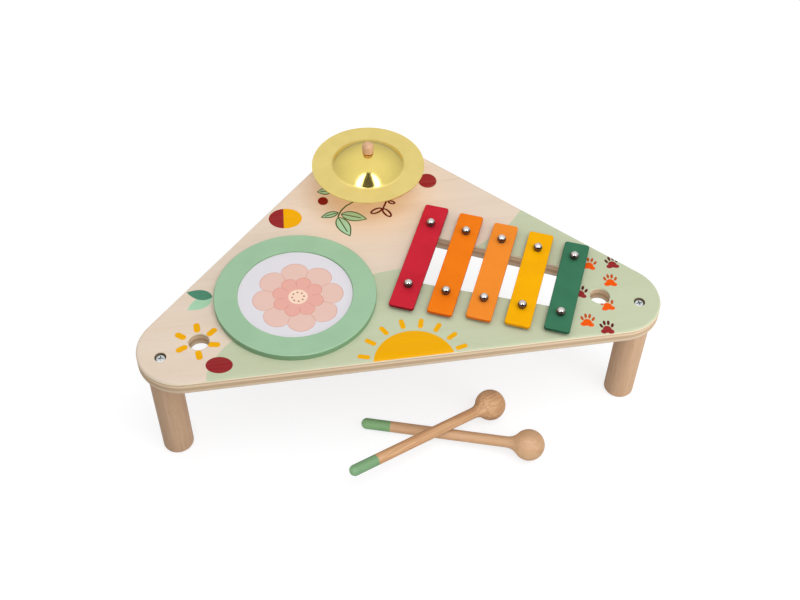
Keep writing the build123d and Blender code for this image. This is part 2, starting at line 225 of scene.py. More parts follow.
# Pointed leaf from Base to Tip: its filled shape, its outline and its rib.
def makeLeafMask():
    tree, inside, outside = newGroup(
        "leafMask",
        [("Place", "Vector", None), ("Base", "Vector", (0, 0, 0)), ("Tip", "Vector", (0.01, 0, 0)),
         ("Half Width", "Float", 0.004), ("Line", "Float", 0.0004)],
        [("Fill", "Float"), ("Outline", "Float"), ("Rib", "Float")],
    )
    axis = vectorCalc(tree, "SUBTRACT", inside["Tip"], inside["Base"])
    offset = vectorCalc(tree, "SUBTRACT", inside["Place"], inside["Base"])
    length = vectorCalc(tree, "LENGTH", axis, output="Value")
    unit = vectorCalc(tree, "NORMALIZE", axis)
    along = calc(tree, "DIVIDE", vectorCalc(tree, "DOT_PRODUCT", offset, unit, output="Value"), length)
    away = calc(tree, "ABSOLUTE", axes(tree, vectorCalc(tree, "CROSS_PRODUCT", unit, offset))[2])
    # the widest place is a little nearer to the base than to the tip
    bent = calc(tree, "POWER", calc(tree, "MAXIMUM", along, 0.0), 0.8)
    arch = calc(tree, "MULTIPLY", calc(tree, "MULTIPLY", bent, calc(tree, "SUBTRACT", 1.0, bent)), 4.0)
    depth = calc(tree, "SUBTRACT", calc(tree, "MULTIPLY", arch, inside["Half Width"]), away)
    fill, core, rim = fillCoreRim(tree, depth, inside["Line"])
    # the rib is thinner than the outline, and stops short of the tip
    onRib = inked(tree, calc(tree, "SUBTRACT", calc(tree, "MULTIPLY", inside["Line"], 0.45), away))
    inReach = calc(tree, "MULTIPLY", ramp(tree, along, 0.02, 0.05), ramp(tree, along, 0.80, 0.72))
    rib = calc(tree, "MULTIPLY", calc(tree, "MULTIPLY", onRib, inReach), core)
    tree.links.new(fill, outside.inputs["Fill"])
    tree.links.new(rim, outside.inputs["Outline"])
    tree.links.new(rib, outside.inputs["Rib"])
    return tree


# Round-ended line from Start to End.
def makeStrokeMask():
    tree, inside, outside = newGroup(
        "strokeMask",
        [("Place", "Vector", None), ("Start", "Vector", (0, 0, 0)), ("End", "Vector", (0.01, 0, 0)),
         ("Half Width", "Float", 0.0005)],
        [("Mask", "Float")],
    )
    axis = vectorCalc(tree, "SUBTRACT", inside["End"], inside["Start"])
    offset = vectorCalc(tree, "SUBTRACT", inside["Place"], inside["Start"])
    reach = vectorCalc(tree, "DOT_PRODUCT", offset, axis, output="Value")
    square = vectorCalc(tree, "DOT_PRODUCT", axis, axis, output="Value")
    nearest = scaleBy(tree, axis, calc(tree, "DIVIDE", reach, square, clamp=True))
    distance = vectorCalc(tree, "DISTANCE", offset, nearest, output="Value")
    depth = calc(tree, "SUBTRACT", inside["Half Width"], distance)
    tree.links.new(inked(tree, depth), outside.inputs["Mask"])
    return tree


# Round dots in a ring about a centre, Step apart.
def makeDotRingMask():
    tree, inside, outside = newGroup(
        "dotRingMask",
        [("Place", "Vector", None), ("Centre", "Vector", (0, 0, 0)), ("Ring Radius", "Float", 0.005),
         ("Dot Radius", "Float", 0.001), ("Step", "Float", 0.5)],
        [("Mask", "Float")],
    )
    offset = vectorCalc(tree, "SUBTRACT", inside["Place"], inside["Centre"])
    x, y, _ = axes(tree, offset)
    half = calc(tree, "MULTIPLY", inside["Step"], 0.5)
    angle = calc(tree, "ARCTAN2", y, x)
    local = calc(tree, "WRAP", angle, half, calc(tree, "MULTIPLY", half, -1.0))
    radius = vectorCalc(tree, "LENGTH", offset, output="Value")
    outwards = calc(tree, "MULTIPLY", radius, calc(tree, "COSINE", local))
    sideways = calc(tree, "MULTIPLY", radius, calc(tree, "SINE", local))
    fromRing = calc(tree, "SUBTRACT", outwards, inside["Ring Radius"])
    square = calc(tree, "ADD", calc(tree, "POWER", fromRing, 2.0), calc(tree, "POWER", sideways, 2.0))
    depth = calc(tree, "SUBTRACT", inside["Dot Radius"], calc(tree, "SQRT", square))
    tree.links.new(inked(tree, depth), outside.inputs["Mask"])
    return tree


# ovals of a track: x, y, half width, half depth (mm) and turn (degrees)
pawOvals = {
    "Pad": [(0.0, 0.7, 3.8, 3.9, 0.0), (-2.8, -1.5, 3.1, 2.4, 15.0), (2.8, -1.5, 3.1, 2.4, -15.0)],
    "Toes": [(-4.8, 4.8, 1.25, 2.5, 20.0), (-1.8, 7.9, 1.25, 2.7, 6.0), (1.7, 8.0, 1.25, 2.7, -6.0),
             (4.9, 5.2, 1.25, 2.5, -20.0)],
}


# Pad and four toes of a track, drawn with ovals, toes towards +Y before the turn.
def makePawMask():
    tree, inside, outside = newGroup(
        "pawMask",
        [("Place", "Vector", None), ("Centre", "Vector", (0, 0, 0)), ("Turn", "Float", 0.0)],
        [("Pad", "Float"), ("Toes", "Float")],
    )
    local = turnBack(tree, vectorCalc(tree, "SUBTRACT", inside["Place"], inside["Centre"]), inside["Turn"])
    for label, ovals in pawOvals.items():
        total = 0.0
        for x, y, across, deep, turn in ovals:
            mask = useGroup(tree, ovalMask, Place=local, Centre=(x * mm, y * mm, 0),
                            Radii=(across * mm, deep * mm, 1), Turn=radians(turn))["Mask"]
            total = calc(tree, "MAXIMUM", total, mask)
        tree.links.new(total, outside.inputs[label])
    return tree


# Flower with round petals: its filled shape, its outline and the seams between the petals.
def makeBlossomMask():
    tree, inside, outside = newGroup(
        "blossomMask",
        [("Place", "Vector", None), ("Centre", "Vector", (0, 0, 0)), ("Radius", "Float", 0.03),
         ("Petals", "Float", 7.0), ("Cut", "Float", 0.2), ("Turn", "Float", 0.0), ("Line", "Float", 0.0005)],
        [("Fill", "Float"), ("Outline", "Float"), ("Seam", "Float")],
    )
    offset = vectorCalc(tree, "SUBTRACT", inside["Place"], inside["Centre"])
    x, y, _ = axes(tree, offset)
    angle = calc(tree, "SUBTRACT", calc(tree, "ARCTAN2", y, x), inside["Turn"])
    radius = vectorCalc(tree, "LENGTH", offset, output="Value")
    phase = calc(tree, "MULTIPLY", angle, calc(tree, "MULTIPLY", inside["Petals"], 0.5))
    lobe = calc(tree, "ABSOLUTE", calc(tree, "COSINE", phase))
    swell = calc(tree, "ADD", calc(tree, "SUBTRACT", 1.0, inside["Cut"]),
                 calc(tree, "MULTIPLY", calc(tree, "POWER", lobe, 0.6), inside["Cut"]))
    depth = calc(tree, "SUBTRACT", calc(tree, "MULTIPLY", swell, inside["Radius"]), radius)
    fill, core, rim = fillCoreRim(tree, depth, inside["Line"])
    # seams run in from between the petals, halfway to the middle
    gap = calc(tree, "MULTIPLY", lobe, radius)
    between = calc(tree, "MULTIPLY", gap, calc(tree, "DIVIDE", 2.0, inside["Petals"]))
    seam = inked(tree, calc(tree, "SUBTRACT", calc(tree, "MULTIPLY", inside["Line"], 0.5), between))
    outer = ramp(tree, calc(tree, "DIVIDE", radius, inside["Radius"]), 0.52, 0.56)
    tree.links.new(fill, outside.inputs["Fill"])
    tree.links.new(rim, outside.inputs["Outline"])
    tree.links.new(calc(tree, "MULTIPLY", calc(tree, "MULTIPLY", seam, outer), fill), outside.inputs["Seam"])
    return tree


woodGrain = makeWoodGrain()
paintSkin = makePaintSkin()
ovalMask = makeOvalMask()
leafMask = makeLeafMask()
strokeMask = makeStrokeMask()
dotRingMask = makeDotRingMask()
pawMask = makePawMask()
blossomMask = makeBlossomMask()
print("shared shader groups made:", len(bpy.data.node_groups))


plywood = {
    "face": colour(227, 210, 193),
    "faceStreak": colour(218, 198, 172),
    "faceFleck": colour(205, 180, 150),
    "glueLine": colour(150, 112, 82),
    "boreShade": colour(138, 122, 98), "boreShadeReach": 8.0,   # painted shade on the walls of the screws' counterbores, and how far from a screw it reaches in mm
    "plies": [   # from the underside up: the height in mm where each ply starts
        (0.0, colour(208, 194, 178)), (1.3, colour(216, 195, 168)), (4.2, colour(198, 171, 140)),
        (7.6, colour(230, 205, 175)), (10.4, colour(206, 184, 154)), (11.4, colour(234, 220, 192)),
    ],
    "plyBlend": 0.12,   # half the height, in mm, over which one ply turns into the next
    "glueReach": (0.22, 0.08), "glueShows": 0.35,   # mm from a glue line where it starts, and is darkest
    "faceStreaks": 0.18, "faceFlecks": 0.15, "grainThroughInk": 0.03, "faceClouds": 0.10,   # shares
    "edgeFibres": 0.2, "edgeWave": 0.5,   # a share, and the mm that the plies wander by
    "roughness": 0.5,
}
inks = {
    "paleGreen": colour(194, 202, 172),
    "yellow": colour(237, 171, 4),
    "darkRed": colour(148, 40, 44),
    "orange": colour(238, 88, 8),
    "darkGreen": colour(78, 138, 112),
    "leafGreen": colour(166, 209, 176),
    "leafLine": colour(64, 92, 46),
    "berryRed": colour(128, 20, 12),
    "brownRed": colour(98, 14, 9),
    "orangeToe": colour(190, 80, 30),
    "darkRedToe": colour(88, 20, 24),
}
# Places of the print, in mm from the frame's middle, with turns in degrees. A dot or a loop is x, y, half
# width, half depth and turn, a leaf is base, tip and half width, and a petal or a paw is x, y and turn.
# An ink comes first.
printing = {
    "fieldEdge": [(-173.2, -150), (-171.4, -110), (-161.2, -91.8), (-149.5, -79.5), (-95, -46),
                  (-18.8, -20), (40, -13), (81.0, 1.0), (92.0, 7.6), (116, 24.3), (131.5, 41.7), (160, 80)],
    "sunCentre": (1.9, -125.4), "sunRadius": 35.2,
    "rayCentre": (1.6, -125.1), "rayMiddle": 43.5, "rayHalfLength": 3.2, "rayHalfWidth": 2.25,
    "rayAngles": [163.3, 140.9, 118.2, 95.1, 73.7, 53.8, 33.4, 14.7],
    "petals": [(-177.3, -59.5, 93), (-164.8, -66.2, 42), (-163.7, -80.3, -11), (-176.9, -90.0, 98),
               (-190.9, -81.0, 25), (-191.4, -66.9, 141)],
    "petalHalfLength": 2.5, "petalHalfWidth": 2.8,
    "dots": [("darkRed", -160.7, -103.2, 11.4, 8.7, -12), ("berryRed", -51.8, 81.1, 4.9, 5.5, 0),
             ("darkRed", 51.4, 94.7, 8.9, 10.0, 0)],
    "splitDot": (-89.4, 62.8, 15.5, 13.1, -9),
    "splitTurn": 176.0, "splitShift": -1.6,   # where the dot's red side faces, and how far off the split is
    "leaves": [((-39.2, 63.6), (-56.6, 59.2), 4.1), ((-37.2, 61.2), (-13.6, 50.7), 6.4),
               ((-40.4, 57.4), (-32.3, 30.4), 6.5), ((-41.0, 94.2), (-56.2, 94.4), 5.0)],
    "leafLineWidth": 1.3, "stemWidth": 0.75, "loopStemWidth": 0.9,
    "stem": [(-40.2, 57.6), (-38.7, 61.8), (-36.0, 66.1), (-31.0, 71.4), (-24.0, 75.4), (-12.0, 82.0)],
    "plainLeaves": [("leafGreen", (-162.6, -26.6), (-184.5, -38.0), 6.4),
                    ("darkGreen", (-162.2, -25.9), (-184.2, -17.2), 5.8)],
    "loops": [(-3.5, 60.5, 6.6, 3.5, 24), (5.9, 56.6, 6.9, 3.5, -64), (12.4, 70.0, 4.0, 2.6, -30)],
    "loopLineWidth": 2.05,
    "loopStem": [(3.2, 62.9), (5.4, 67.2), (7.4, 71.4), (10.0, 78.0)],
    "paws": [("orange", 176.4, -38.8, -22), ("orange", 190.0, -61.6, -11), ("orange", 179.8, -89.0, -2),
             ("orange", 156.9, -104.2, -17), ("darkRed", 197.9, -40.6, -5), ("darkRed", 159.4, -70.8, -20),
             ("darkRed", 171.9, -114.5, -9)],
}


# A place of the print, in metres.
def flat(point):
    return (point[0] * mm, point[1] * mm, 0.0)


# One step at an angle from +X.
def towards(degrees):
    return Vector((cos(radians(degrees)), sin(radians(degrees))))


# Mask of the pale green field: everything on the near side of its edge line.
def printField(tree, place):
    points = printing["fieldEdge"]
    placeX, placeY, _ = axes(tree, place)
    lowX, highX = points[0][0] * mm, points[-1][0] * mm
    lowY, highY = points[0][1] * mm, points[-1][1] * mm
    share = ramp(tree, placeX, lowX, highX, smooth=False)
    curve = addNode(tree, "FloatCurve", {"Value": share})
    line = curve.mapping.curves[0]
    while len(line.points) < len(points):
        line.points.new(0.5, 0.5)
    for point, (x, y) in zip(line.points, points):
        point.location = ((x * mm - lowX) / (highX - lowX), (y * mm - lowY) / (highY - lowY))
        point.handle_type = "AUTO"
    curve.mapping.update()
    edgeY = ramp(tree, curve.outputs[0], 0.0, 1.0, lowY, highY, smooth=False)
    return inked(tree, calc(tree, "SUBTRACT", edgeY, placeY))


# Lays every ornament over the ground colour, one ink at a time.
def printOrnaments(tree, place, ground):
    def over(mask, ink, under):
        return mixColour(tree, mask, under, inks[ink])

    def oval(x, y, across, deep, turn, line=1.0):
        return useGroup(tree, ovalMask, Place=place, Centre=flat((x, y)), Radii=(across * mm, deep * mm, 1),
                        Turn=radians(turn), Line=line * mm)

    p = printing
    ground = over(oval(*p["sunCentre"], p["sunRadius"], p["sunRadius"], 0)["Mask"], "yellow", ground)
    strokes = [(x, y, turn, p["petalHalfLength"], p["petalHalfWidth"]) for x, y, turn in p["petals"]]
    for angle in p["rayAngles"]:
        x, y = Vector(p["rayCentre"]) + towards(angle) * p["rayMiddle"]
        strokes.append((x, y, angle, p["rayHalfLength"], p["rayHalfWidth"]))
    for x, y, angle, halfLength, halfWidth in strokes:
        middle = Vector((x, y))
        reach = towards(angle) * halfLength
        stroke = useGroup(tree, strokeMask, Place=place, Start=flat(middle - reach), End=flat(middle + reach),
                          **{"Half Width": halfWidth * mm})["Mask"]
        ground = over(stroke, "yellow", ground)
    for ink, x, y, across, deep, turn in p["dots"]:
        ground = over(oval(x, y, across, deep, turn)["Mask"], ink, ground)

    x, y, across, deep, turn = p["splitDot"]
    whole = oval(x, y, across, deep, turn)["Mask"]
    fromSplit = vectorCalc(tree, "SUBTRACT", place, flat((x + p["splitShift"], y)))
    beyond = vectorCalc(tree, "DOT_PRODUCT", fromSplit, (*towards(p["splitTurn"]), 0.0), output="Value")
    ground = over(whole, "yellow", ground)
    ground = over(calc(tree, "MULTIPLY", whole, inked(tree, beyond)), "darkRed", ground)

    for ink, base, tip, width in p["plainLeaves"]:
        leaf = useGroup(tree, leafMask, Place=place, Base=flat(base), Tip=flat(tip),
                        **{"Half Width": width * mm})
        ground = over(leaf["Fill"], ink, ground)
    for base, tip, width in p["leaves"]:
        leaf = useGroup(tree, leafMask, Place=place, Base=flat(base), Tip=flat(tip),
                        **{"Half Width": width * mm, "Line": p["leafLineWidth"] * mm})
        ground = over(leaf["Fill"], "leafGreen", ground)
        ground = over(calc(tree, "MAXIMUM", leaf["Outline"], leaf["Rib"]), "leafLine", ground)
    stems = ((p["stem"], "leafLine", p["stemWidth"]), (p["loopStem"], "brownRed", p["loopStemWidth"]))
    for line, ink, width in stems:
        for start, end in zip(line, line[1:]):
            stroke = useGroup(tree, strokeMask, Place=place, Start=flat(start), End=flat(end),
                              **{"Half Width": width * mm})["Mask"]
            ground = over(stroke, ink, ground)
    for x, y, along, across, turn in p["loops"]:
        ground = over(oval(x, y, along, across, turn, p["loopLineWidth"])["Ring"], "brownRed", ground)
    for ink, x, y, turn in p["paws"]:
        paw = useGroup(tree, pawMask, Place=place, Centre=flat((x, y)), Turn=radians(turn))
        ground = over(paw["Pad"], ink, ground)
        ground = over(paw["Toes"], ink + "Toe", ground)
    return ground


def plywoodMaterial():
    p = plywood
    material, tree, shader = newMaterial("printedPlywood", **{"Specular IOR Level": 0.02})
    place = objectPlace(tree)
    onTop = seenFromAbove(tree, place)
    grain = useGroup(tree, woodGrain, Place=place, Along=(1.0, 0.0, 0.0), Stretch=0.035,
                     **{"Streak Scale": 500.0, "Fleck Scale": 900.0})
    streaked = calc(tree, "MULTIPLY", grain["Streaks"], p["faceStreaks"])
    flecked = calc(tree, "MULTIPLY", grain["Flecks"], p["faceFlecks"])
    face = mixColour(tree, streaked, p["face"], p["faceStreak"])
    face = mixColour(tree, flecked, face, p["faceFleck"])
    printed = mixColour(tree, printField(tree, onTop), face, inks["paleGreen"])
    printed = printOrnaments(tree, onTop, printed)
    throughInk = calc(tree, "MULTIPLY", grain["Streaks"], p["grainThroughInk"])
    printed = mixColour(tree, throughInk, printed, p["faceFleck"])
    cloud = spread(tree, grain["Tone"], 0.0, p["faceClouds"])
    printed = mixColour(tree, cloud, printed, p["faceStreak"], "MULTIPLY")

    # the cut edge shows the plies, with thin glue lines between them
    level = calc(tree, "SUBTRACT", axes(tree, place)[2], tableTopBottomZ)
    wave = calc(tree, "MULTIPLY", calc(tree, "SUBTRACT", grain["Tone"], 0.5), p["edgeWave"] * mm)
    wavy = calc(tree, "ADD", level, wave)
    glueFrom, glueTo = p["glueReach"]
    edge = p["plies"][0][1]
    for start, ply in p["plies"][1:]:
        inPly = ramp(tree, wavy, (start - p["plyBlend"]) * mm, (start + p["plyBlend"]) * mm)
        edge = mixColour(tree, inPly, edge, ply)
        away = calc(tree, "ABSOLUTE", calc(tree, "SUBTRACT", wavy, start * mm))
        glued = ramp(tree, away, glueFrom * mm, glueTo * mm, 0.0, p["glueShows"])
        edge = mixColour(tree, glued, edge, p["glueLine"])
    thinned = vectorCalc(tree, "MULTIPLY", place, (1.0, 1.0, 6.0))
    fibres = noise(tree, thinned, 700.0, detail=3.0, roughness=0.7)
    edge = mixColour(tree, ramp(tree, fibres, 0.45, 0.75, 0.0, p["edgeFibres"]), edge, p["faceFleck"])

    # painted shade: the cut edge turns dark within reach of each leg's screw, on its counterbore walls
    for leg in legs:
        low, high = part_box(leg)
        screw = ((low.x + high.x) / 2, (low.y + high.y) / 2, 0.0)
        fromScrew = vectorCalc(tree, "DISTANCE", onTop, screw, output="Value")
        nearScrew = calc(tree, "LESS_THAN", fromScrew, p["boreShadeReach"] * mm)
        edge = mixColour(tree, nearScrew, edge, p["boreShade"])

    up = upwards(tree)
    upper = ramp(tree, up, 0.50, 0.62)
    under = ramp(tree, up, -0.50, -0.62)
    result = mixColour(tree, under, mixColour(tree, upper, edge, printed), face)
    tree.links.new(result, shader.inputs["Base Color"])
    rough = calc(tree, "ADD", p["roughness"], calc(tree, "MULTIPLY", grain["Streaks"], 0.10))
    rough = calc(tree, "ADD", rough, calc(tree, "MULTIPLY", calc(tree, "SUBTRACT", 1.0, upper), 0.12))
    tree.links.new(rough, shader.inputs["Roughness"])
    height = calc(tree, "ADD", calc(tree, "MULTIPLY", grain["Streaks"], 0.6),
                  calc(tree, "MULTIPLY", fibres, 0.4))
    bump(tree, shader, height, 0.10, 0.2 * mm)
    return material


setMaterial(plywoodMaterial(), "table_top")
print("plywood top done")


beech = {
    "legBase": colour(216, 181, 150), "legStreak": colour(198, 160, 126), "legFleck": colour(166, 126, 92),
    "legShadeTones": {"leg_left": 0.88},   # painted shade: how much darker a leg's wood is made than the others', where less light falls on it
    "peg": colour(236, 186, 146), "roughness": 0.42,
    "streakShare": 0.4, "toneShare": 0.7, "fleckShare": 0.45,   # how strongly the grain shows
    "handleLength": 28.0, "handleEdge": 0.1, "handleWander": 0.5,   # of the painted end, in mm
    "handleClouds": 0.12,
}
# each mallet's wood with its streaks and flecks, how strong the streaks are, and its handle's two paints
mallets = {
    "mallet_upper": {
        "wood": (colour(218, 179, 139), colour(180, 130, 89), colour(150, 99, 62)), "streaks": 0.75,
        "paint": (colour(119, 156, 115), colour(98, 136, 95)),
    },
    "mallet_lower": {
        "wood": (colour(201, 167, 132), colour(184, 141, 104), colour(162, 119, 83)), "streaks": 0.5,
        "paint": (colour(118, 157, 109), colour(101, 141, 95)),
    },
}


# Beech with its grain along a direction; paintFrom is the butt end that a handle's paint starts at.
def beechMaterial(name, base, streak, fleck, along, streaks=beech["streakShare"], paintFrom=None, paint=None):
    material, tree, shader = newMaterial(name, **{"Specular IOR Level": 0.15})
    place = objectPlace(tree)
    grain = useGroup(tree, woodGrain, Place=place, Along=along, Stretch=0.05,
                     **{"Streak Scale": 520.0, "Fleck Scale": 1500.0})
    wood = mixColour(tree, calc(tree, "MULTIPLY", grain["Streaks"], streaks), base, streak)
    wood = mixColour(tree, ramp(tree, grain["Tone"], 0.3, 0.75, 0.0, beech["toneShare"]), wood, streak)
    wood = mixColour(tree, calc(tree, "MULTIPLY", grain["Flecks"], beech["fleckShare"]), wood, fleck)
    height = calc(tree, "SUBTRACT", grain["Streaks"], calc(tree, "MULTIPLY", grain["Flecks"], 0.8))
    rough = calc(tree, "ADD", beech["roughness"], calc(tree, "MULTIPLY", grain["Streaks"], 0.1))
    if paintFrom is not None:
        fromButt = vectorCalc(tree, "SUBTRACT", place, tuple(paintFrom))
        reach = vectorCalc(tree, "DOT_PRODUCT", fromButt, tuple(along), output="Value")
        wander = calc(tree, "MULTIPLY", noise(tree, place, 150.0), beech["handleWander"] * mm)
        length, edge = beech["handleLength"] * mm, beech["handleEdge"] * mm
        painted = ramp(tree, calc(tree, "ADD", reach, wander), length + edge, length - edge)
        skin = useGroup(tree, paintSkin, Place=place, **{"Wave Scale": 900.0})
        coat = mixColour(tree, ramp(tree, skin["Clouds"], 0.4, 0.7, 0.0, beech["handleClouds"]), *paint)
        wood = mixColour(tree, painted, wood, coat)
        height = calc(tree, "ADD", calc(tree, "MULTIPLY", height, calc(tree, "SUBTRACT", 1.0, painted)),
                      calc(tree, "MULTIPLY", painted, 2.0))
    tree.links.new(wood, shader.inputs["Base Color"])
    tree.links.new(rough, shader.inputs["Roughness"])
    bump(tree, shader, height, 0.12, 0.15 * mm)
    return material


for name in (*legs, "cymbal_post"):
    # a leg's wood colours are darkened by its painted shade tone
    tone = beech["legShadeTones"].get(name, 1.0)
    tints = []
    for key in ("legBase", "legStreak", "legFleck"):
        red, green, blue, full = beech[key]
        tints.append((red * tone, green * tone, blue * tone, full))
    setMaterial(beechMaterial("beech." + name, *tints, (0, 0, 1)), name)
pegBeech = beechMaterial("pegBeech", beech["peg"], beech["legStreak"], beech["legFleck"], (0, 0, 1))
setMaterial(pegBeech, "cymbal_knob")


# Butt end and direction of a mallet, from its own mesh: the ball is the wider end.
def malletAxis(name):
    points = np.array([v.co for v in nodes[name].data.vertices])
    middle = points.mean(axis=0)
    along = np.linalg.svd(points - middle, full_matrices=False)[2][0]
    reach = (points - middle) @ along
    sideways = np.linalg.norm((points - middle) - np.outer(reach, along), axis=1)
    if sideways[reach > 0].max() < sideways[reach < 0].max():
        along, reach = -along, -reach
    return Vector(points[reach.argmin()]), Vector(along)


for name, look in mallets.items():
    butt, along = malletAxis(name)
    made = beechMaterial(name.replace("mallet_", "malletBeech."), *look["wood"], along,
                         streaks=look["streaks"], paintFrom=butt, paint=look["paint"])
    setMaterial(made, name)
print("beech done")


drum = {
    "ring": colour(155, 191, 156), "ringDark": colour(142, 180, 145), "ringSideShade": colour(122, 158, 120),
    "board": colour(150, 120, 88), "boardLight": colour(172, 142, 108),
    "film": colour(220, 217, 223), "filmCloud": colour(218, 215, 222),
    "petal": colour(226, 190, 177), "petalInner": colour(228, 168, 154), "line": colour(208, 128, 116),
    "heart": colour(244, 214, 190), "seed": colour(170, 84, 76),
    "flowerCentre": (2.0, -4.0), "outerRadius": 40.0, "innerRadius": 23.0, "petals": 8,
    "petalCut": 0.22, "lineWidth": 0.55, "lineShows": 0.7,
    "heartRadius": 8.5, "seedRing": 5.2, "seedRadius": 0.85,
    "ringRough": (0.42, 0.52), "filmRough": (0.38, 0.46),
}
ringLow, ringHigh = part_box("drum_ring")
drumCentre = ((ringLow + ringHigh) / 2).xy


def ringMaterial():
    material, tree, shader = newMaterial("ringPaint", **{"Specular IOR Level": 0.3})
    place = objectPlace(tree)
    skin = useGroup(tree, paintSkin, Place=place, **{"Wave Scale": 500.0})
    coat = mixColour(tree, ramp(tree, skin["Clouds"], 0.35, 0.7, 0.0, 0.35), drum["ring"], drum["ringDark"])
    # the ring's sides are painted darker as shade, by how little they face up
    coat = mixColour(tree, ramp(tree, upwards(tree), 0.9, 0.3), coat, drum["ringSideShade"])
    tree.links.new(coat, shader.inputs["Base Color"])
    tree.links.new(spread(tree, skin["Waves"], *drum["ringRough"]), shader.inputs["Roughness"])
    bump(tree, shader, skin["Waves"], 0.10, 0.15 * mm)
    return material


def boardMaterial():
    material, tree, shader = newMaterial("rawBoard", Roughness=0.8)
    place = objectPlace(tree)
    fibres = noise(tree, place, 1200.0, detail=4.0, roughness=0.7)
    wood = mixColour(tree, spread(tree, fibres), drum["board"], drum["boardLight"])
    tree.links.new(wood, shader.inputs["Base Color"])
    bump(tree, shader, fibres, 0.3, 0.1 * mm)
    return material


# Matt white film with a printed flower of two rows of petals.
def filmMaterial():
    d = drum
    material, tree, shader = newMaterial("drumFilm", **{"Specular IOR Level": 0.35})
    place = objectPlace(tree)
    onTop = seenFromAbove(tree, place)
    centre = (drumCentre.x + d["flowerCentre"][0] * mm, drumCentre.y + d["flowerCentre"][1] * mm, 0.0)
    skin = useGroup(tree, paintSkin, Place=place, **{"Wave Scale": 900.0, "Cloud Scale": 20.0})
    result = mixColour(tree, ramp(tree, skin["Clouds"], 0.4, 0.7, 0.0, 0.2), d["film"], d["filmCloud"])
    rows = ((d["outerRadius"], "petal", 0.0), (d["innerRadius"], "petalInner", pi / d["petals"]))
    for radius, tint, turn in rows:
        row = useGroup(tree, blossomMask, Place=onTop, Centre=centre, Radius=radius * mm,
                       Petals=float(d["petals"]), Cut=d["petalCut"], Turn=turn, Line=d["lineWidth"] * mm)
        result = mixColour(tree, row["Fill"], result, d[tint])
        drawn = calc(tree, "MULTIPLY", calc(tree, "MAXIMUM", row["Outline"], row["Seam"]), d["lineShows"])
        result = mixColour(tree, drawn, result, d["line"])
    radii = (d["heartRadius"] * mm, d["heartRadius"] * mm, 1)
    heart = useGroup(tree, ovalMask, Place=onTop, Centre=centre, Radii=radii)["Mask"]
    result = mixColour(tree, heart, result, d["heart"])
    seeds = useGroup(tree, dotRingMask, Place=onTop, Centre=centre, Step=2 * pi / d["petals"],
                     **{"Ring Radius": d["seedRing"] * mm, "Dot Radius": d["seedRadius"] * mm})["Mask"]
    result = mixColour(tree, seeds, result, d["seed"])
    tree.links.new(result, shader.inputs["Base Color"])
    tree.links.new(spread(tree, skin["Waves"], *d["filmRough"]), shader.inputs["Roughness"])
    bump(tree, shader, skin["Waves"], 0.05, 0.1 * mm)
    return material


setMaterial(ringMaterial(), "drum_ring")
setMaterial(boardMaterial(), "drum_hoop")
setMaterial(filmMaterial(), "drum_head")
print("drum done")


# each bar's enamel: its main colour, its thicker places, and the darker colour painted on its sides as shade
enamels = {
    "bar_red": (colour(199, 37, 54), colour(176, 26, 44), colour(128, 14, 26)),
    "bar_orange": (colour(238, 123, 18), colour(224, 106, 8), colour(204, 88, 6)),
    "bar_light_orange": (colour(239, 139, 46), colour(228, 124, 32), colour(212, 104, 18)),
    "bar_yellow": (colour(244, 174, 0), colour(228, 158, 0), colour(212, 142, 0)),
    "bar_green": (colour(60, 118, 88), colour(46, 100, 74), colour(36, 82, 60)),
}
enamelRough = (0.34, 0.42)


def enamelMaterial(name, base, deep, sideShade):
    material, tree, shader = newMaterial(name, **{"Specular IOR Level": 0.05})
    place = objectPlace(tree)
    skin = useGroup(tree, paintSkin, Place=place, **{"Wave Scale": 700.0, "Cloud Scale": 50.0})
    coat = mixColour(tree, ramp(tree, skin["Clouds"], 0.35, 0.75, 0.0, 0.4), base, deep)
    # painted shade: sides that face away from up take the darker colour
    coat = mixColour(tree, ramp(tree, upwards(tree), 0.92, 0.5), coat, sideShade)
    tree.links.new(coat, shader.inputs["Base Color"])
    tree.links.new(spread(tree, skin["Waves"], *enamelRough), shader.inputs["Roughness"])
    bump(tree, shader, skin["Waves"], 0.12, 0.12 * mm)
    return material


for name, shades in enamels.items():
    setMaterial(enamelMaterial(name.replace("bar_", "enamel."), *shades), name)


# each metal's pieces, colour, roughness from and to, darker colour painted on its flanks as shade, and skin's
# scale and strength
metals = {
    "polishedPin": {"pieces": ["bar_pins"], "base": colour(226, 222, 219), "rough": (0.03, 0.07),
                    "flankShade": colour(120, 102, 98), "skin": (400.0, 0.05)},
    "zincSteel": {"pieces": ["leg_screws", "drum_screws", "post_screw"], "base": colour(226, 232, 234),
                  "rough": (0.3, 0.42), "flankShade": colour(82, 90, 92), "skin": (1500.0, 0.12)},
    "insertBrass": {"pieces": ["leg_inserts"], "base": colour(212, 178, 96), "rough": (0.25, 0.4),
                    "skin": (400.0, 0.05)},
}
handledMetal = colour(120, 120, 122)   # what bare metal dulls to in patches


# Bare metal, dulled in patches, with a roughness that wanders.
def metalMaterial(name, look):
    material, tree, shader = newMaterial(name, Metallic=1.0)
    skinScale, skinDepth = look["skin"]
    skin = useGroup(tree, paintSkin, Place=objectPlace(tree), **{"Wave Scale": skinScale})
    metal = mixColour(tree, spread(tree, skin["Clouds"], 0.0, 0.25), look["base"], handledMetal)
    # painted shade on steep flanks and in recesses, which on the pins also stands in for a dark reflection
    if "flankShade" in look:
        metal = mixColour(tree, ramp(tree, upwards(tree), 0.8, 0.4), metal, look["flankShade"])
    tree.links.new(metal, shader.inputs["Base Color"])
    tree.links.new(spread(tree, skin["Waves"], *look["rough"]), shader.inputs["Roughness"])
    bump(tree, shader, skin["Waves"], skinDepth, 0.1 * mm)
    return material


for name, look in metals.items():
    setMaterial(metalMaterial(name, look), *look["pieces"])


# each soft piece's material, its two colours, and the scale of its fibres
softPieces = {
    "bar_grommets": ("softBush", colour(52, 50, 48), colour(34, 33, 32), 900.0),
    "cymbal_felt": ("woolFelt", colour(214, 208, 196), colour(184, 176, 162), 1400.0),
}


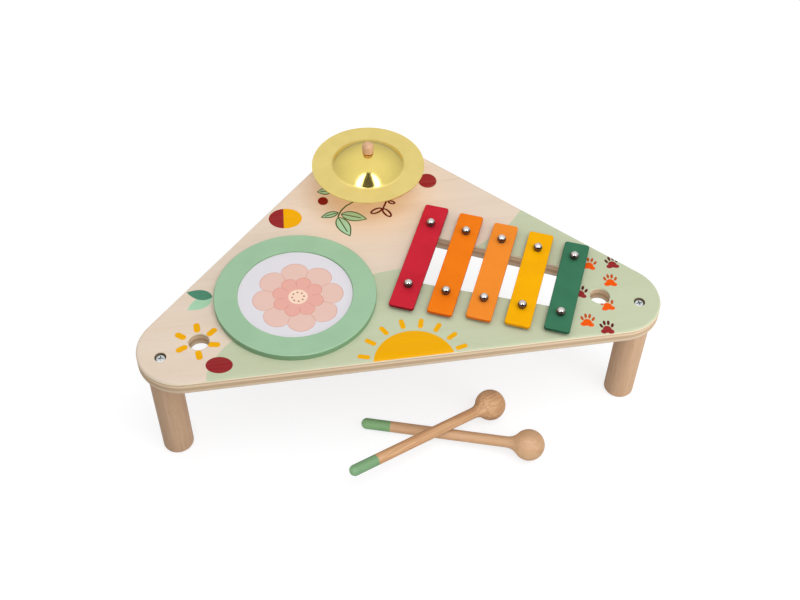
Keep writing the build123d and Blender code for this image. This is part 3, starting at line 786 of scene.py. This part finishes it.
def softMaterial(name, base, deep, scale):
    material, tree, shader = newMaterial(name, Roughness=0.85)
    fibres = noise(tree, objectPlace(tree), scale, detail=4.0, roughness=0.7)
    mixed = mixColour(tree, ramp(tree, fibres, 0.35, 0.65), base, deep)
    tree.links.new(mixed, shader.inputs["Base Color"])
    bump(tree, shader, fibres, 0.4, 0.15 * mm)
    return material


for name, look in softPieces.items():
    setMaterial(softMaterial(*look), name)
print("bars, pins and screws done")


brass = {"brim": colour(237, 215, 135), "dome": colour(237, 214, 122), "cloud": colour(212, 188, 104),
         "edge": (1.0, 0.95, 0.78, 1.0),   # tint of what shows at a glancing angle
         "brimRough": 0.36, "domeRough": 0.12,
         "creaseRadius": 34.0, "creaseReach": (-1.5, 0.8)}   # mm from the crease where dome turns to brim
cymbalLow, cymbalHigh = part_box("cymbal")
cymbalCentre = ((cymbalLow + cymbalHigh) / 2).xy


# Spun brass: satin brim with fine turning lines, and a more polished dome.
def brassMaterial():
    material, tree, shader = newMaterial("spunBrass", Metallic=1.0, **{"Specular Tint": brass["edge"]})
    place = objectPlace(tree)
    onTop = seenFromAbove(tree, place)
    centred = vectorCalc(tree, "SUBTRACT", onTop, (cymbalCentre.x, cymbalCentre.y, 0.0))
    radius = vectorCalc(tree, "LENGTH", centred, output="Value")
    low, high = [(brass["creaseRadius"] + reach) * mm for reach in brass["creaseReach"]]
    onBrim = ramp(tree, radius, low, high)
    turning = addNode(tree, "CombineXYZ", {0: radius}).outputs[0]
    lines = noise(tree, turning, 1400.0, detail=2.0, roughness=0.7)
    clouds = noise(tree, place, 60.0, detail=3.0)
    metal = mixColour(tree, onBrim, brass["dome"], brass["brim"])
    metal = mixColour(tree, ramp(tree, clouds, 0.35, 0.7, 0.0, 0.2), metal, brass["cloud"])
    tree.links.new(metal, shader.inputs["Base Color"])
    rough = ramp(tree, onBrim, 0.0, 1.0, brass["domeRough"], brass["brimRough"])
    rough = calc(tree, "ADD", rough, spread(tree, lines, -0.02, 0.03))
    tree.links.new(rough, shader.inputs["Roughness"])
    bump(tree, shader, lines, 0.06, 0.08 * mm)
    return material


setMaterial(brassMaterial(), "cymbal")
print("cymbal done")


studio = {
    "cameraPlace": (-0.1188, -0.7178, 0.8825), "pitch": 48.41, "heading": -10.181, "roll": 1.227,
    "lens": 51.98, "sensor": 36.0,
    "wallRise": (-0.1, 0.9), "wallLight": (0.6, 1.0),   # shiny surfaces see walls that brighten upwards
    "fill": 0.5,   # strength of the surroundings as a light
    "floorColour": colour(206, 206, 206),
    "floorSeen": colour(150, 151, 153), "floorLift": 0.74,   # the paper in view, and the white added to it
    "floorSize": 8.0, "floorDrop": 0.4,   # the drop, in mm, keeps the floor clear of the feet
    "floorFade": (0.7, 3.0),   # how far out the floor starts to turn white, and is white
    "glow": {"colour": (1.0, 0.64, 0.28), "power": 0.02, "share": 0.95},   # light that the brass throws down
    "softBoxes": [   # shape, place, size, power, and whether matt and shiny surfaces see it
        ("RECTANGLE", (0.55, -1.05, 2.7), (2.6, 2.0), 39.5, True, False),
        ("RECTANGLE", (-0.15, 0.45, 1.9), (1.8, 1.6), 5.5, True, False),
        ("RECTANGLE", (0.72, -0.8, 0.35), (0.5, 0.5), 3.2, True, False),
        ("ELLIPSE", (-0.17, -1.058, 1.25), (1.8, 2.1), 46.0, False, True),
    ],
    "malletFill": ((-0.8, -0.62, 0.26), (0.6, 0.6), 4.6),   # place, size and power
    "darkCards": [   # place, width below and above, and height of what stands dark behind the camera
        ((-0.097, -0.6, 1.2), (0.95, 0.24), 1.0), ((-0.15, -1.1, 0.5), (3.4, 0.4), 1.2),
    ],
}
aim = Vector((0.0, 0.0, 0.1))   # where the soft boxes and the dark cards face


def facing(place):
    return (aim - Vector(place)).to_track_quat("-Z", "Y").to_euler()


def makeCamera():
    data = bpy.data.cameras.new("camera")
    data.lens = studio["lens"]
    data.sensor_width = studio["sensor"]
    data.clip_start = 10 * mm
    camera = bpy.data.objects.new("camera", data)
    heading = Matrix.Rotation(radians(studio["heading"]), 4, "Z")
    tilt = Matrix.Rotation(radians(90 - studio["pitch"]), 4, "X")
    roll = Matrix.Rotation(radians(studio["roll"]), 4, "Z")
    camera.matrix_world = Matrix.Translation(studio["cameraPlace"]) @ heading @ tilt @ roll
    bpy.context.scene.collection.objects.link(camera)
    bpy.context.scene.camera = camera


def areaLight(name, shape, place, size, power, matt=True, shiny=False):
    data = bpy.data.lights.new(name, "AREA")
    data.shape = shape
    data.size, data.size_y = size
    data.energy = power
    light = bpy.data.objects.new(name, data)
    light.location = place
    light.visible_diffuse = matt
    light.visible_glossy = shiny
    light.visible_camera = False
    bpy.context.scene.collection.objects.link(light)
    return light


def makeSoftBoxes():
    for index, box in enumerate(studio["softBoxes"]):
        light = areaLight(f"softBox{index}", *box)
        light.rotation_euler = facing(light.location)


# Weak light on the mallets alone, from the low left, where the table and its lamps leave them dim.
def makeMalletFill():
    light = areaLight("malletFill", "ELLIPSE", *studio["malletFill"])
    light.rotation_euler = facing(light.location)
    lit = bpy.data.collections.new("malletsOnly")
    for name in mallets:
        lit.objects.link(nodes[name])
    light.light_linking.receiver_collection = lit


# Warm light under the brim, as polished brass throws it on the wood.
def makeGlow():
    glow = studio["glow"]
    across = (cymbalHigh - cymbalLow).x * glow["share"]
    place = (cymbalCentre.x, cymbalCentre.y, cymbalLow.z - 0.5 * mm)
    light = areaLight("brassGlow", "ELLIPSE", place, (across, across), glow["power"])
    light.data.color = glow["colour"]


def sheetMesh(name, corners, material):
    mesh = bpy.data.meshes.new(name)
    mesh.from_pydata([(x, y, 0) for x, y in corners], [], [(0, 1, 2, 3)])
    mesh.materials.append(material)
    return mesh


# Dark cards that only shiny surfaces see, as they would see the camera and the room behind it.
def makeDarkCards():
    material = newMaterial("darkCard", Roughness=0.9, **{"Base Color": (0.01, 0.01, 0.01, 1)})[0]
    for index, (place, (below, above), height) in enumerate(studio["darkCards"]):
        low, high, y = below / 2, above / 2, height / 2
        mesh = sheetMesh(f"darkCard{index}", ((-low, -y), (low, -y), (high, y), (-high, y)), material)
        card = bpy.data.objects.new(f"darkCard{index}", mesh)
        card.location = place
        card.rotation_euler = facing(place)
        card.visible_camera = False
        card.visible_diffuse = False
        card.visible_shadow = False
        card.visible_transmission = False
        bpy.context.scene.collection.objects.link(card)


# White surroundings: full strength for the camera, with greyer walls in what shiny surfaces see,
# and less as a fill light.
def makeWorld():
    world = bpy.data.worlds.new("studio")
    world.use_nodes = True
    tree = world.node_tree
    tree.nodes.clear()
    path = addNode(tree, "LightPath").outputs
    mirrored = calc(tree, "MAXIMUM", path["Is Glossy Ray"], path["Is Transmission Ray"])
    rise = axes(tree, addNode(tree, "TexCoord").outputs["Generated"])[2]
    walls = ramp(tree, rise, *studio["wallRise"], *studio["wallLight"], smooth=False)
    strength = ramp(tree, mirrored, 0.0, 1.0, studio["fill"], walls, smooth=False)
    strength = ramp(tree, path["Is Camera Ray"], 0.0, 1.0, strength, 1.0, smooth=False)
    background = addNode(tree, "Background", {"Color": (1, 1, 1, 1), "Strength": strength})
    addNode(tree, "OutputWorld", {"Surface": background.outputs[0]})
    bpy.context.scene.world = world


def makeFloor():
    material, tree, shader = newMaterial("floorPaper", Roughness=0.9, **{"Specular IOR Level": 0.2})
    shader.inputs["Emission Color"].default_value = (1, 1, 1, 1)
    inView = addNode(tree, "LightPath").outputs["Is Camera Ray"]
    far = ramp(tree, vectorCalc(tree, "LENGTH", objectPlace(tree), output="Value"), *studio["floorFade"])
    paper = mixColour(tree, far, studio["floorSeen"], (0, 0, 0, 1))
    tree.links.new(mixColour(tree, inView, studio["floorColour"], paper), shader.inputs["Base Color"])
    lift = ramp(tree, far, 0.0, 1.0, studio["floorLift"], 1.0, smooth=False)
    tree.links.new(calc(tree, "MULTIPLY", inView, lift), shader.inputs["Emission Strength"])
    half = studio["floorSize"] / 2
    mesh = sheetMesh("floor", ((-half, -half), (half, -half), (half, half), (-half, half)), material)
    floor = bpy.data.objects.new("floor", mesh)
    floor.location.z = -studio["floorDrop"] * mm
    bpy.context.scene.collection.objects.link(floor)


makeCamera()
makeSoftBoxes()
makeMalletFill()
makeGlow()
makeDarkCards()
makeWorld()
makeFloor()
bpy.context.scene.view_settings.view_transform = "Standard"
print("studio done")
